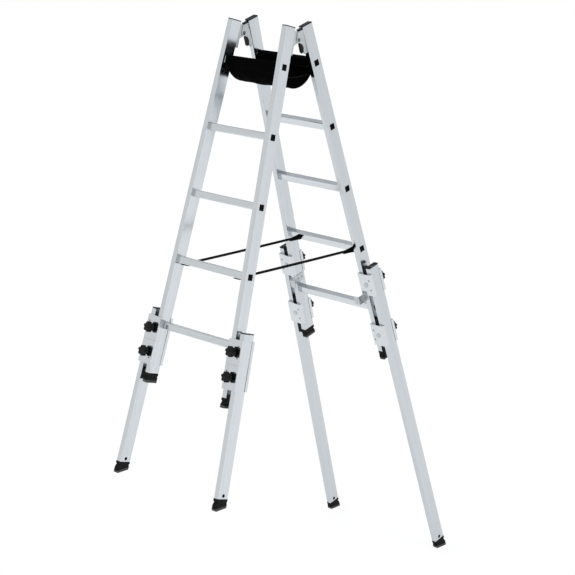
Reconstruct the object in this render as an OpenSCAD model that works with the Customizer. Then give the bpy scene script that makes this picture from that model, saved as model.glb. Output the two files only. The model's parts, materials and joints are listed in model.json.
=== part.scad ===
// Double-sided rung ladder with four clamped leg extensions, standing on stairs.
// Millimetres, +Z up, X across the rungs, -Y the front, origin under the middle of
// the outer box at the level of the rear soles.

/* [Sections] */
// Lean of each section from upright, degrees
lean = 16.35; // [12:0.05:20]
// Outward splay of each stile within its section, degrees
splay = 2.96; // [1:0.01:4]
// Outer width across the stiles at the hinge pin
hinge_width = 336; // [300:1:420]
// Width of the stile and leg section across the ladder
stile_w = 24; // [20:0.5:30]
// Depth of the stile and leg section
stile_d = 56; // [50:0.5:70]
// Wall of the stile and leg section
stile_wall = 1.8; // [1.2:0.1:3]
// Corner radius of the stile and leg section
stile_r = 2.5; // [2:0.1:4]
// Distance from the hinge pin to the inner narrow face of a stile
pin_offset = 33; // [28:0.5:45]
// Stile length above the hinge pin
stile_above = 40; // [36:0.5:60]
// Stile length below the hinge pin
stile_below = 1450; // [1440:1:1470]
// Thickness of the end caps on stiles and legs
cap_t = 4; // [3:0.5:6]
// Depth of the plugs that caps and shoes push into a tube
plug_depth = 22; // [15:1:35]
// Radial clearance of pushed-in plugs
plug_clearance = 0.1; // [0.05:0.01:0.3]

/* [Rungs] */
// Rungs in each section
rung_count = 5; // [5:1:5]
// Distance between rungs along the section
rung_pitch = 280; // [270:1:290]
// Distance from the hinge pin to the first rung
first_rung = 121.5; // [115:0.5:130]
// Side of the square rung tube
rung_w = 30; // [26:0.5:34]
// Corner radius of the rung tube
rung_r = 4; // [3:0.5:6]
// Wall of the rung tube
rung_wall = 2.2; // [1.8:0.1:3]
// Grooves in the tread of a rung
tread_grooves = 6; // [3:1:6]
// Width of a tread groove
groove_w = 1.6; // [1:0.1:2]
// Depth of a tread groove
groove_depth = 0.8; // [0.4:0.1:1]
// Clearance of a rung in its hole
rung_clearance = 0.1; // [0.05:0.01:0.2]
// Length of the plug in a rung end
rung_plug_len = 16; // [10:1:20]

/* [Hinges] */
// Radius of the hinge pin
pin_r = 4; // [3:0.5:5]
// Running clearance round the hinge pin
pin_clearance = 0.05; // [0.02:0.01:0.1]
// Radius of the hinge knuckle
knuckle_r = 13; // [11:0.5:15]
// Height of a hinge leaf above the pin
leaf_above = 32; // [28:0.5:35]
// Height of a hinge leaf below the pin
leaf_below = 66; // [55:1:80]
// Thickness of the hinge sheet
leaf_t = 2.4; // [2:0.1:3]
// Outer width of the rear leaf, which straddles the front leaf
rear_leaf_w = 17.6; // [16:0.2:20]
// Side clearance between the nested leaves
leaf_clearance = 0.3; // [0.2:0.05:0.5]
// Radius of the hinge pin's heads
pin_head_r = 8; // [6.5:0.5:10]
// Height of the hinge pin's heads
pin_head_h = 4; // [3:0.5:6]
// Distance from the pin to the front of the cover between the rear cheeks
cover_from = 12; // [10:0.5:16]
// Height of that cover
cover_h = 14; // [10:0.5:16]
// Rise of that cover above the leaf
cover_rise = 6; // [2:0.5:7]
// Distance from the pin to the front of the tongue between the rear cheeks
tongue_from = 4; // [2:0.5:8]
// Depth of that tongue
tongue_d = 16; // [12:0.5:20]
// Height of that tongue
tongue_h = 39; // [30:0.5:42]
// Drop of the tongue's tip below the pin
tongue_drop = 58; // [54:0.5:62]
// Depth of the tongue's hooked tip
hook_d = 11; // [8:0.5:14]
// Height of the tongue's hooked tip
hook_h = 16; // [8:0.5:20]
// Rise of a leaf's top rivet above the pin
leaf_rivet_rise = 20; // [18:0.5:24]
// Drop of a leaf's second rivet below the pin
leaf_rivet_drop = 34; // [30:0.5:38]
// Distance from the second rivet to the lowest
leaf_rivet_pitch = 22; // [18:0.5:24]
// Size of a leaf rivet against a clamp rivet
leaf_rivet_part = 0.65; // [0.5:0.05:0.8]

/* [Clamps] */
// Gap between a stile and its leg
leg_gap = 21.4; // [19:0.2:26]
// Clearance of everything that slides
slide_clearance = 0.3; // [0.2:0.05:0.5]
// Height of a clamp plate along the stile
clamp_h = 101; // [90:1:110]
// Thickness of a clamp plate
plate_t = 9; // [7:0.5:11]
// Thickness of the lips that hook round the stile and the leg
lip_t = 2.5; // [2:0.1:4]
// Reach of the lips over the wide faces
lip_reach = 6; // [4:0.5:9]
// Rounding of the clamp plate's outer corners
plate_r = 3; // [2:0.5:4]
// Distance from the hinge pin to the bolt of the lower clamp
lower_clamp = 1364; // [1350:1:1375]
// Gap between the clamps when a front leg is fully out
clamp_stop = 0.6; // [0.4:0.1:4]
// Rise of the leg guide above its clamp
guide_rise = 29; // [20:1:40]
// Distance from the leg's end to the top of the guide block
guide_down = 8; // [4:1:12]
// Distance of the guide block from the leg's narrow faces
guide_inset = 3; // [2:0.5:6]
// Depth of the high strip on the inner side of every guide
strip_d = 18; // [16:1:30]
// Rise of the guide block's full depth above its clamp
block_rise = 6; // [3:1:12]
// Rise of the stile foot's guide above the lower clamp
foot_guide_rise = 24; // [15:1:26]
// Radius of the clamp bolts
bolt_r = 4; // [3:0.5:5]
// Clearance round the clamp bolts in plates and guides
bolt_clearance = 0.2; // [0.1:0.05:0.5]
// Radius of the clamp bolts' round heads
bolt_head_r = 11; // [8:0.5:12]
// Height of the clamp bolts' round heads
bolt_head_h = 5; // [4:0.5:7]
// Radius of the rivet heads
rivet_r = 4; // [3:0.5:5]
// Radius of the rivet shanks
rivet_shank_r = 2.4; // [1.5:0.1:3]
// Spacing of the two rivets in a clamp plate
rivet_pitch = 46; // [40:1:60]

/* [Star knobs] */
// Outer radius of the star knob
knob_r = 22; // [20:0.5:25]
// Lobes of the star knob
knob_lobes = 6; // [5:1:6]
// Radius of one lobe
lobe_r = 6.5; // [6:0.25:7]
// Height of the star grip
knob_h = 22; // [16:0.5:26]
// Height of the metal collar under the grip
collar_h = 5; // [3:0.5:8]
// Radius of the metal collar
collar_r = 8.5; // [7:0.5:11]
// Length of the grip's neck over the collar
neck_h = 5.5; // [4:0.5:12]
// Radius of the grip's neck
neck_r = 9.5; // [8:0.5:12]
// Running clearance of the knob on its bolt
knob_clearance = 0.05; // [0.02:0.01:0.1]

/* [Legs] */
// Tube length of the front legs
front_leg_len = 660; // [600:1:700]
// Tube length of the rear legs
rear_leg_len = 1396; // [1300:1:1420]
// Shoe height below the tube on the leg's middle line
shoe_h = 42.5; // [38:0.5:48]
// Height of the rim at the top of a shoe
rim_h = 11; // [8:0.5:14]
// Reach of that rim beyond the tube
rim_reach = 0.5; // [0.25:0.25:2]
// Depth of the waist under the rim on the inner side
waist_depth = 4; // [3:0.25:6]
// Depth of the waist under the rim on the outer side
waist_out = 5; // [3:0.25:6]
// Height of the waist under the rim
waist_h = 4; // [3:0.5:8]
// Reach of the sole beyond the tube on the outer side
flare_out = 5.5; // [3:0.5:8]
// Height over which the outer side flares
flare_h = 20; // [14:1:22]
// Reach of the sole beyond the tube on the inner side
flare_in = 3; // [2:0.5:5]
// Corner radius of a shoe seen from below
shoe_r = 7; // [5:0.5:7.5]
// Slope cut off the outer end of a leg's sole
toe_edge = 7; // [4:0.5:8]
// Slope cut off a sole's other ends
sole_edge = 3.5; // [2:0.5:5]
// Width of the tread grooves
tread_w = 3; // [2:0.5:4]
// Depth of the tread grooves
tread_depth = 2; // [1:0.25:3]
// Distance between the two outer tread grooves on one side of the middle
tread_pitch = 12; // [9:0.5:13]
// Radius of the stud that locks a shoe in its tube
stud_r = 4; // [2:0.2:5]
// Distance of that stud from the shoe
stud_rise = 13; // [8:1:16]

/* [Stile feet and brackets] */
// Height of a stile foot, square under the stile
foot_h = 41; // [38:0.5:46]
// Rise of a stile foot's spacer beside the stile
spacer_rise = 10; // [6:1:14]
// Drop of that spacer below the stile
spacer_drop = 21; // [14:1:26]
// Height of the stop brackets on the rear stiles
bracket_h = 36; // [25:1:40]
// Distance from the hinge pin to the top of the stop brackets
bracket_top = 1169; // [1150:1:1180]
// Thickness of the stop brackets
bracket_t = 2.5; // [2:0.25:3]
// Reach of the stop brackets beyond the inner narrow face
bracket_reach = 37; // [25:1:40]
// Width of the stop bracket's turned-in flange
bracket_flange = 29; // [20:1:35]

/* [Pouch and straps] */
// Half the length of the tool pouch
pouch_half = 142; // [120:1:146]
// Outer radius of the pouch's trough
pouch_r = 105; // [102:0.5:110]
// Height of the trough's centre below the hinge pin
pouch_drop = 91; // [86:0.5:96]
// Drop of the top edge of the pouch's ends below that centre
pouch_end_drop = 56; // [30:1:70]
// Thickness of the pouch's cloth
cloth_t = 3; // [2.5:0.25:4]
// Clearance of the cloth round the rungs
cloth_gap = 0.3; // [0.2:0.05:0.6]
// Radius of the restraint straps
strap_r = 5.5; // [3:0.25:5.5]
// Thickness of the straps' end loops and tabs
strap_end_t = 4; // [3:0.25:5]
// Width of the straps' end loops and tabs
strap_end_w = 26; // [16:1:32]
// Radius of the sleeve over a strap's rear end
sleeve_r = 7.5; // [6:0.5:8]
// Length of that sleeve
sleeve_len = 44; // [25:1:45]
// Drop of a strap's front end below its rung's middle
strap_front_dip = 10; // [6:0.5:11]
// Drop of a strap's rear end below its rung's middle
strap_rear_dip = 2; // [0:0.5:6]

/* [Hidden] */
$fn = 48;

aluminium = "#cfd4d8";
steel = "#b3bbbc";
black = "#161616";
far = 3000;
eps = 0.01;

// Section and stile frames
stile_mid = pin_offset + stile_d / 2;
stile_x = hinge_width / 2 - stile_w / 2 / cos(splay);
leg_x = stile_w + leg_gap;
bolt_x = (stile_w + leg_gap) / 2;
outer_v = pin_offset + stile_d;

// Leg positions along the stile, measured down from the hinge pin to the guide's top
front_leg_top = lower_clamp - clamp_h / 2 - clamp_stop - clamp_h - guide_rise;
rear_leg_top = bracket_top - 1 - clamp_h - guide_rise;
upper_clamp_drop = guide_rise + clamp_h / 2;
guide_below = 30;

// Places of the shoes: middle line of a leg where it meets its sole
front_sole_s = front_leg_top + cap_t + front_leg_len + shoe_h;
rear_sole_s = rear_leg_top + cap_t + rear_leg_len + shoe_h;
function leg_line_x(s) = stile_x + leg_x * cos(splay) + s * sin(splay);
function leg_line_down(s) = s * cos(splay) - leg_x * sin(splay);
function lean_y(down, v) = down * sin(lean) + v * cos(lean);
function lean_z(down, v) = v * sin(lean) - down * cos(lean);
pivot_z = -lean_z(leg_line_down(rear_sole_s), stile_mid);
front_sole_z = pivot_z + lean_z(leg_line_down(front_sole_s), stile_mid);
front_reach = lean_y(leg_line_down(front_sole_s), stile_mid);
rear_reach = lean_y(leg_line_down(rear_sole_s), stile_mid);
pivot_y = (front_reach - rear_reach) / 2;

// Knob and bolt lengths
bolt_end = outer_v + plate_t + slide_clearance + collar_h + neck_h + knob_h - 4;
rung_bore = rung_w - 2 * rung_wall;
rib_pitch = (rung_w - 2 * rung_r) / tread_grooves;

// Rope ends: x at the front rung and at the rear rung, left then right
strap_rung = first_rung + 3 * rung_pitch;
strap_x = [[-172, -128], [148, 176]];

// Moves a child from the rear section's frame: X across, Y away from the other section,
// Z up along the section, origin on the hinge pin
module rear_frame() translate([0, pivot_y, pivot_z]) rotate([lean, 0, 0]) children();

module front_frame() translate([0, pivot_y, pivot_z]) mirror([0, 1, 0]) rotate([lean, 0, 0]) children();

module section_frame(front) {
    if (front) front_frame() children();
    else rear_frame() children();
}

// Frame of one stile: X away from the ladder's middle, Z up along the stile
module stile_frame(right) {
    mirror([right ? 0 : 1, 0, 0]) translate([stile_x, 0, 0]) rotate([0, -splay, 0]) children();
}

module both_stiles() {
    for (right = [false, true]) stile_frame(right) children();
}

module round_rect(w, d, r) {
    square([w - 2 * r, d], center = true);
    square([w, d - 2 * r], center = true);
    for (x = [-1, 1], y = [-1, 1]) translate([x * (w / 2 - r), y * (d / 2 - r)]) circle(r);
}

module stile_profile() {
    difference() {
        round_rect(stile_w, stile_d, stile_r);
        round_rect(stile_w - 2 * stile_wall, stile_d - 2 * stile_wall, stile_r - stile_wall + 0.5);
    }
}

// Plug that fits the bore of a stile or leg, from its mouth upwards
module tube_plug(h) {
    w = stile_w - 2 * stile_wall - 2 * plug_clearance;
    d = stile_d - 2 * stile_wall - 2 * plug_clearance;
    linear_extrude(h) round_rect(w, d, stile_r - stile_wall + 0.5);
}

// Dome-headed rivet with its head's seat at z = 0 and its shank below
module rivet(shank) {
    rotate_extrude() intersection() {
        translate([0, -rivet_r * 0.9]) circle(rivet_r * 1.345);
        square([rivet_r, rivet_r]);
    }
    translate([0, 0, -shank]) cylinder(r = rivet_shank_r, h = shank + eps);
}

// Everything within the splayed outer faces of a section, drawn in by inset
module section_envelope(inset) {
    half = hinge_width / 2 - inset;
    drop = stile_below;
    rise = stile_above;
    polygon_top = half - rise * tan(splay);
    polygon_low = half + drop * tan(splay);
    rotate([90, 0, 0]) translate([0, 0, -far / 4]) linear_extrude(far / 2)
        polygon([[-polygon_top, rise], [polygon_top, rise], [polygon_low, -drop], [-polygon_low, -drop]]);
}

// Bar along X at a rung's place with the given profile as child
module along_rung(i) {
    drop = first_rung + (i - 1) * rung_pitch;
    translate([-far / 4, stile_mid, -drop]) rotate([90, 0, 90]) linear_extrude(far / 2) children();
}

module rung_profile() {
    difference() {
        round_rect(rung_w, rung_w, rung_r);
        round_rect(rung_bore, rung_bore, rung_r - 1);
        for (i = [0:tread_grooves - 1])
            translate([(i - (tread_grooves - 1) / 2) * rib_pitch, rung_w / 2])
                square([groove_w, 2 * groove_depth], center = true);
    }
}

module stile(front, right) {
    color(aluminium) section_frame(front) difference() {
        stile_frame(right) translate([0, stile_mid, -stile_below])
            linear_extrude(stile_below + stile_above) stile_profile();
        for (i = [1:rung_count]) along_rung(i)
            round_rect(rung_w + 2 * rung_clearance, rung_w + 2 * rung_clearance, rung_r);
    }
}

module rung(front, i) {
    color(aluminium) section_frame(front) intersection() {
        along_rung(i) rung_profile();
        section_envelope(0);
    }
}

module rung_plugs(front) {
    side = rung_bore - 2 * plug_clearance;
    color(black) section_frame(front) for (i = [1:rung_count]) difference() {
        intersection() {
            along_rung(i) round_rect(side, side, rung_r - 1);
            section_envelope(0);
        }
        section_envelope(rung_plug_len);
    }
}

module stile_caps(front) {
    color(black) section_frame(front) both_stiles() translate([0, stile_mid, stile_above]) {
        linear_extrude(cap_t) round_rect(stile_w, stile_d, stile_r);
        translate([0, 0, -plug_depth]) tube_plug(plug_depth + eps);
    }
}

// Moulded shoe under a tube's end at the origin, x from left to right, not yet cut to its sole:
// a rim, a waist, a flared block, and a plug inside the tube
module shoe_blank(left, right) {
    half = stile_d / 2;
    turn = rim_h + waist_h;
    edge = [[-half - rim_reach, 0], [half + rim_reach, 0], [half + rim_reach, -rim_h],
            [half - waist_out, -rim_h - 1], [half - waist_out, -turn],
            [half + flare_out, -turn - flare_h], [half + flare_out, -2 * shoe_h],
            [-half - flare_in, -2 * shoe_h], [-half - flare_in, -turn - 8], [-half + waist_depth, -turn],
            [-half + waist_depth, -rim_h - 1], [-half - rim_reach, -rim_h]];
    intersection() {
        translate([left, 0, 0]) rotate([90, 0, 90]) linear_extrude(right - left) polygon(edge);
        translate([(left + right) / 2, (flare_out - flare_in) / 2, -2 * shoe_h]) linear_extrude(2 * shoe_h)
            round_rect(right - left, stile_d + flare_out + flare_in, shoe_r);
    }
    translate([0, 0, -eps]) tube_plug(plug_depth);
}

module stud(r, len) {
    translate([0, 0, stud_rise]) rotate([0, 90, 0]) cylinder(r = r, h = len, center = true);
}

// What a shoe loses to the ground: all below its sole, a slope at both ends and the tread grooves.
// The origin is on the tube's middle line at the sole, Y outwards, and tilt is the tube's lean
module ground_cut(tilt, toe) {
    translate([-far / 2, -far / 2, -far]) cube(far);
    for (end = [[-stile_d / 2 - flare_in, sole_edge], [stile_d / 2 + flare_out, toe]])
        translate([0, end[0] / cos(tilt), 0]) rotate([45, 0, 0])
            cube([far, end[1] * sqrt(2), end[1] * sqrt(2)], center = true);
    for (side = [-1, 1], k = [0.75, 1.75]) translate([0, side * k * tread_pitch, 0])
        cube([far, tread_w, 2 * tread_depth], center = true);
}

// Ground cut placed under a tube whose middle line is at across, with its sole s down the stile
module sole_place(front, right, across, s) {
    x = stile_x + across * cos(splay) + s * sin(splay);
    down = s * cos(splay) - across * sin(splay);
    reach = lean_y(down, stile_mid);
    translate([right ? x : -x, pivot_y + (front ? -reach : reach), pivot_z + lean_z(down, stile_mid)])
        mirror([0, front ? 1 : 0, 0]) children();
}

// Foot in the stile's end, cut square, with a spacer and a guide strip in the gap between stile and leg
module stile_feet(front) {
    guide_top = lower_clamp - clamp_h / 2 - foot_guide_rise;
    gap_w = leg_gap - slide_clearance;
    color(black) section_frame(front) both_stiles() {
        translate([0, stile_mid, -stile_below]) difference() {
            shoe_blank(-stile_w / 2 - rim_reach, stile_w / 2 + rim_reach);
            translate([0, 0, -foot_h]) ground_cut(0, sole_edge);
        }
        translate([stile_w / 2, pin_offset + guide_inset, -stile_below - spacer_drop])
            cube([gap_w, stile_d - 2 * guide_inset, spacer_drop + spacer_rise]);
        difference() {
            translate([stile_w / 2, pin_offset + guide_inset, -stile_below])
                cube([gap_w, strip_d, stile_below - guide_top]);
            clamp_bolt_hole(lower_clamp);
        }
    }
}

module clamp_bolt_hole(s) {
    translate([bolt_x, -far / 4, -s]) rotate([-90, 0, 0]) cylinder(r = bolt_r + bolt_clearance, h = far / 2);
}

// Outline of a clamp plate over stile and leg. The gaps at its sliding side and its
// fixed side are passed in, and its seat is at y = 0
module clamp_outline(gap_stile, gap_leg) {
    left = -stile_w / 2 - gap_stile - lip_t;
    right = leg_x + stile_w / 2 + gap_leg + lip_t;
    mid = bolt_x;
    difference() {
        translate([(left + right) / 2, (plate_t - lip_reach) / 2])
            round_rect(right - left, plate_t + lip_reach, plate_r);
        translate([left + lip_t, -far]) square([mid - left - lip_t, far + gap_stile]);
        translate([mid - eps, -far]) square([right - lip_t - mid + eps, far + gap_leg]);
        translate([left - 1, -far - lip_reach]) square([right - left + 2, far]);
    }
}

// Outer and inner plate of a clamp round the bolt at s, with two rivets' holes at rivet_x
module clamp_plates(s, gap_stile, gap_leg, rivet_x) {
    for (outer = [false, true])
        translate([0, outer ? outer_v : pin_offset, 0]) mirror([0, outer ? 0 : 1, 0])
            difference() {
                translate([0, 0, -s - clamp_h / 2]) linear_extrude(clamp_h)
                    clamp_outline(gap_stile, gap_leg);
                translate([bolt_x, -1, -s]) rotate([-90, 0, 0])
                    cylinder(r = bolt_r + bolt_clearance, h = far);
                for (k = [-1, 1]) translate([rivet_x, -1, -s + k * rivet_pitch / 2]) rotate([-90, 0, 0])
                    cylinder(r = rivet_shank_r + bolt_clearance, h = far);
            }
}

module clamp_rivets(s, rivet_x) {
    for (k = [-1, 1], outer = [false, true])
        translate([rivet_x, outer ? outer_v + plate_t : pin_offset - plate_t, -s + k * rivet_pitch / 2])
            rotate([outer ? -90 : 90, 0, 0]) rivet(plate_t - 0.3);
}

// Bolt through both plates with a round head inside the ladder
module clamp_bolt(s) {
    translate([bolt_x, pin_offset - plate_t, -s]) rotate([-90, 0, 0]) {
        cylinder(r = bolt_r, h = bolt_end - pin_offset + plate_t);
        mirror([0, 0, 1]) rotate_extrude() intersection() {
            translate([0, -14]) circle(14 + bolt_head_h);
            square([bolt_head_r, bolt_head_h]);
        }
    }
}

// Star grip with a neck and a metal collar, turned on its bolt at s, one lobe up the stile
module star_knob(s) {
    grip_from = outer_v + plate_t + slide_clearance;
    core = knob_r - lobe_r;
    difference() {
        translate([bolt_x, grip_from, -s]) rotate([-90, 0, 0]) {
            cylinder(r = collar_r, h = collar_h + eps);
            translate([0, 0, collar_h]) cylinder(r = neck_r, h = neck_h + eps);
            translate([0, 0, collar_h + neck_h]) intersection() {
                linear_extrude(knob_h) {
                    circle(core);
                    for (k = [0:knob_lobes - 1]) rotate(90 + k * 360 / knob_lobes) translate([core, 0]) circle(lobe_r);
                }
                translate([0, 0, knob_h - 3 * knob_r]) sphere(r = 3 * knob_r, $fn = 96);
            }
        }
        translate([bolt_x, 0, -s]) rotate([-90, 0, 0])
            cylinder(r = bolt_r + knob_clearance, h = bolt_end + slide_clearance);
    }
}

// Sheet outline of a hinge cheek: knuckle round the pin, strip along the stile and a web
// between them that hollows out below the pin
module cheek_outline(strip, web_top) {
    difference() {
        union() {
            circle(knuckle_r);
            translate([pin_offset - strip, -leaf_below]) square([strip, leaf_below + leaf_above]);
            polygon([[pin_offset - 1, leaf_above], [web_top, leaf_above], [-knuckle_r * 0.8, knuckle_r * 0.6],
                     [0, -knuckle_r], [pin_offset - 1, -knuckle_r * 3]]);
        }
        translate([-knuckle_r * 0.7, -knuckle_r * 2.93]) circle(knuckle_r * 1.94);
    }
}

// Channel-shaped hinge leaf of outer width w with its base on the stile's narrow face
module hinge_leaf(w, strip, web_top) {
    for (k = [-1, 1]) translate([k * (w - leaf_t) / 2, 0, 0]) rotate([90, 0, 90])
        linear_extrude(leaf_t, center = true) difference() {
            cheek_outline(strip, web_top);
            circle(pin_r + pin_clearance);
        }
    difference() {
        translate([-w / 2, pin_offset - leaf_t, -leaf_below]) cube([w, leaf_t, leaf_below + leaf_above]);
        at_leaf_rivets() cylinder(r = leaf_rivet_part * rivet_shank_r + bolt_clearance, h = 3 * leaf_t, center = true);
    }
}

// Places of a leaf's rivets, Z towards the hinge pin
module at_leaf_rivets() {
    for (z = [leaf_rivet_rise, -leaf_rivet_drop, -leaf_rivet_drop - leaf_rivet_pitch])
        translate([0, pin_offset - leaf_t, z]) rotate([90, 0, 0]) children();
}

module at_hinges() {
    for (k = [-1, 1]) translate([k * stile_x, 0, 0]) children();
}

module front_hinge_leaves() {
    w = rear_leaf_w - 2 * leaf_t - 2 * leaf_clearance;
    color(steel) front_frame() at_hinges() hinge_leaf(w, 15, 12);
}

module rear_hinge_leaves() {
    color(steel) rear_frame() at_hinges() hinge_leaf(rear_leaf_w, 20, 2);
}

// Black mouldings held between the rear leaf's cheeks: a cover at the top and a tongue below the pin
module hinge_guards() {
    w = rear_leaf_w - 2 * leaf_t;
    color(black) rear_frame() at_hinges() {
        translate([-w / 2, cover_from, leaf_above + cover_rise - cover_h])
            cube([w, pin_offset - leaf_t - cover_from, cover_h]);
        translate([-w / 2, tongue_from, -tongue_drop]) difference() {
            cube([w, tongue_d, tongue_h]);
            translate([-1, hook_d, -1]) cube([w + 2, tongue_d, hook_h + 1]);
        }
    }
}

module hinge_pins() {
    reach = rear_leaf_w / 2;
    color(steel) rear_frame() at_hinges() rotate([0, 90, 0]) {
        translate([0, 0, -reach]) cylinder(r = pin_r, h = 2 * reach);
        for (k = [0, 1]) mirror([0, 0, k]) translate([0, 0, reach]) rotate_extrude() intersection() {
            translate([0, -7]) circle(7 + pin_head_h);
            square([pin_head_r, pin_head_h]);
        }
    }
}

module leaf_rivets() {
    at_hinges() at_leaf_rivets() scale(leaf_rivet_part) rivet((leaf_t - 0.2) / leaf_rivet_part);
}

// Angle brackets on the inner wide faces of the rear stiles, which stop the rear legs
module stop_brackets() {
    face = -stile_w / 2;
    tip = pin_offset - bracket_reach;
    back = outer_v - lip_reach - 4;
    color(steel) rear_frame() both_stiles() difference() {
        translate([face - bracket_t, tip, -bracket_top - bracket_h]) {
            cube([bracket_t, back - tip, bracket_h]);
            translate([-bracket_flange + bracket_t, 0, 0]) cube([bracket_flange, bracket_t, bracket_h]);
        }
        for (v = [pin_offset + 14, back - 10]) translate([face - 1, v, -bracket_top - bracket_h / 2])
            rotate([0, 90, 0]) cylinder(r = rivet_shank_r + bolt_clearance, h = far, center = true);
    }
}

module bracket_rivets() {
    face = -stile_w / 2 - bracket_t;
    back = outer_v - lip_reach - 4;
    both_stiles() for (v = [pin_offset + 14, back - 10])
        translate([face, v, -bracket_top - bracket_h / 2]) rotate([0, -90, 0]) rivet(bracket_t - 0.3);
}

module lower_clamps(front) {
    color(aluminium) section_frame(front) both_stiles() clamp_plates(lower_clamp, 0, slide_clearance, 0);
}

module section_fasteners(front) {
    color(steel) section_frame(front) {
        both_stiles() {
            clamp_bolt(lower_clamp);
            clamp_rivets(lower_clamp, 0);
        }
        leaf_rivets();
        if (!front) bracket_rivets();
    }
}

function leg_top(front) = front ? front_leg_top : rear_leg_top;
function leg_len(front) = front ? front_leg_len : rear_leg_len;

module leg(front, right) {
    low = leg_top(front) + cap_t + leg_len(front);
    color(aluminium) section_frame(front) stile_frame(right) difference() {
        translate([leg_x, stile_mid, -low]) linear_extrude(leg_len(front)) stile_profile();
        translate([leg_x, stile_mid, -low]) stud(stud_r + bolt_clearance, 2 * stile_w);
    }
}

// Cap of the leg's tube, and the guide block in the gap between leg and stile with a high strip on its inner side
module leg_guide(front, right) {
    top = leg_top(front);
    drop = guide_rise + clamp_h - guide_below;
    color(black) section_frame(front) stile_frame(right) difference() {
        union() {
            translate([leg_x, stile_mid, -top - cap_t]) {
                linear_extrude(cap_t) round_rect(stile_w, stile_d, stile_r);
                translate([0, 0, -plug_depth]) tube_plug(plug_depth + eps);
            }
            translate([stile_w / 2 + slide_clearance, pin_offset + guide_inset, -top - drop]) {
                cube([leg_gap - slide_clearance, strip_d, drop - cap_t - guide_down]);
                cube([leg_gap - slide_clearance, stile_d - 2 * guide_inset, drop - guide_rise + block_rise]);
            }
        }
        clamp_bolt_hole(top + upper_clamp_drop);
    }
}

// Angled shoe under a leg
module leg_shoe(front, right) {
    low = leg_top(front) + cap_t + leg_len(front);
    reach = stile_w / 2 + rim_reach;
    color(black) difference() {
        section_frame(front) stile_frame(right) translate([leg_x, stile_mid, -low]) {
            shoe_blank(-reach, reach);
            stud(stud_r, stile_w - 0.6);
        }
        sole_place(front, right, leg_x, low + shoe_h) ground_cut(lean, toe_edge);
    }
}

module upper_clamp(front, right) {
    color(aluminium) section_frame(front) stile_frame(right)
        clamp_plates(leg_top(front) + upper_clamp_drop, slide_clearance, 0, leg_x);
}

module leg_fasteners(front, right) {
    s = leg_top(front) + upper_clamp_drop;
    color(steel) section_frame(front) stile_frame(right) {
        clamp_bolt(s);
        clamp_rivets(s, leg_x);
    }
}

module upper_knob(front, right) {
    color(black) section_frame(front) stile_frame(right) star_knob(leg_top(front) + upper_clamp_drop);
}

module lower_knob(front, right) {
    color(black) section_frame(front) stile_frame(right) star_knob(lower_clamp);
}

// Square outline round the top rung of a section, in the YZ plane through the pin
module rung_square(front, side) {
    mirror([front ? 1 : 0, 0]) rotate(lean) translate([stile_mid, -first_rung])
        round_rect(side, side, rung_r + (side - rung_w) / 2);
}

// Cloth trough hung between the top rungs: a sleeve round each rung, a round belly and D-shaped ends
module tool_pouch() {
    clear = rung_w + 2 * cloth_gap;
    color(black) translate([0, pivot_y, pivot_z]) rotate([90, 0, 90]) {
        translate([0, 0, -pouch_half]) linear_extrude(2 * pouch_half) difference() {
            union() {
                pouch_belly(pouch_r, pouch_r - cloth_t, 8);
                for (front = [false, true]) rung_square(front, clear + 2 * cloth_t);
            }
            for (front = [false, true]) rung_square(front, clear);
        }
        for (k = [-1, 1]) translate([0, 0, k * (pouch_half - cloth_t / 2)])
            linear_extrude(cloth_t, center = true) pouch_belly(pouch_r, 0, pouch_end_drop);
    }
}

// Lower half ring of the trough, cut level at the given drop below its centre
module pouch_belly(outer, inner, cut) {
    difference() {
        translate([0, -pouch_drop]) circle(outer, $fn = 96);
        translate([0, -pouch_drop]) circle(inner + eps, $fn = 96);
        translate([-far / 2, -pouch_drop - cut]) square([far, far]);
    }
}

module rod_between(a, b, r) {
    d = b - a;
    len = norm(d);
    translate(a) rotate([0, acos(d[2] / len), atan2(d[1], d[0])]) cylinder(r = r, h = len);
}

// Rope from an L-shaped tab behind and under the front rung to a loop round the rear rung
module restraint_straps() {
    clear = rung_w + 2 * cloth_gap;
    rear_v = stile_mid - clear / 2 - strap_end_t / 2;
    tab_v = stile_mid - clear / 2 - strap_end_t;
    color(black) for (ends = strap_x) {
        low = strap_rung + strap_front_dip;
        high = strap_rung + strap_rear_dip;
        front_end = [ends[0], pivot_y - lean_y(low, rear_v), pivot_z + lean_z(low, rear_v)];
        rear_end = [ends[1], pivot_y + lean_y(high, rear_v), pivot_z + lean_z(high, rear_v)];
        back = (front_end - rear_end) / norm(front_end - rear_end);
        rod_between(front_end, rear_end, strap_r);
        rod_between(rear_end + 2 * back, rear_end + (2 + sleeve_len) * back, sleeve_r);
        front_frame() translate([ends[0] - strap_end_w / 2, tab_v, -strap_rung - clear / 2 - strap_end_t])
            difference() {
                cube([strap_end_w, clear * 0.8, clear * 0.8]);
                translate([-1, strap_end_t, strap_end_t]) cube(far);
            }
        rear_frame() translate([ends[1] - strap_end_w / 4, stile_mid, -strap_rung]) rotate([90, 0, 90])
            linear_extrude(strap_end_w / 2) difference() {
                round_rect(clear + 2 * strap_end_t, clear + 2 * strap_end_t, rung_r + strap_end_t);
                round_rect(clear, clear, rung_r);
            }
    }
}

for (front = [true, false], right = [false, true]) {
    corner = str(front ? "front" : "rear", right ? "_right" : "_left");
    stile(front, right);
    leg(front, right);
    leg_guide(front, right);
    leg_shoe(front, right);
    upper_clamp(front, right);
    leg_fasteners(front, right);
    upper_knob(front, right);
    lower_knob(front, right);
}
for (front = [true, false]) {
    half = front ? "front" : "rear";
    for (i = [1:rung_count])
        rung(front, i);
    rung_plugs(front);
    stile_caps(front);
    stile_feet(front);
    lower_clamps(front);
    section_fasteners(front);
}
front_hinge_leaves();
rear_hinge_leaves();
hinge_guards();
hinge_pins();
stop_brackets();
tool_pouch();
restraint_straps();
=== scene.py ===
import json
import math

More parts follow.
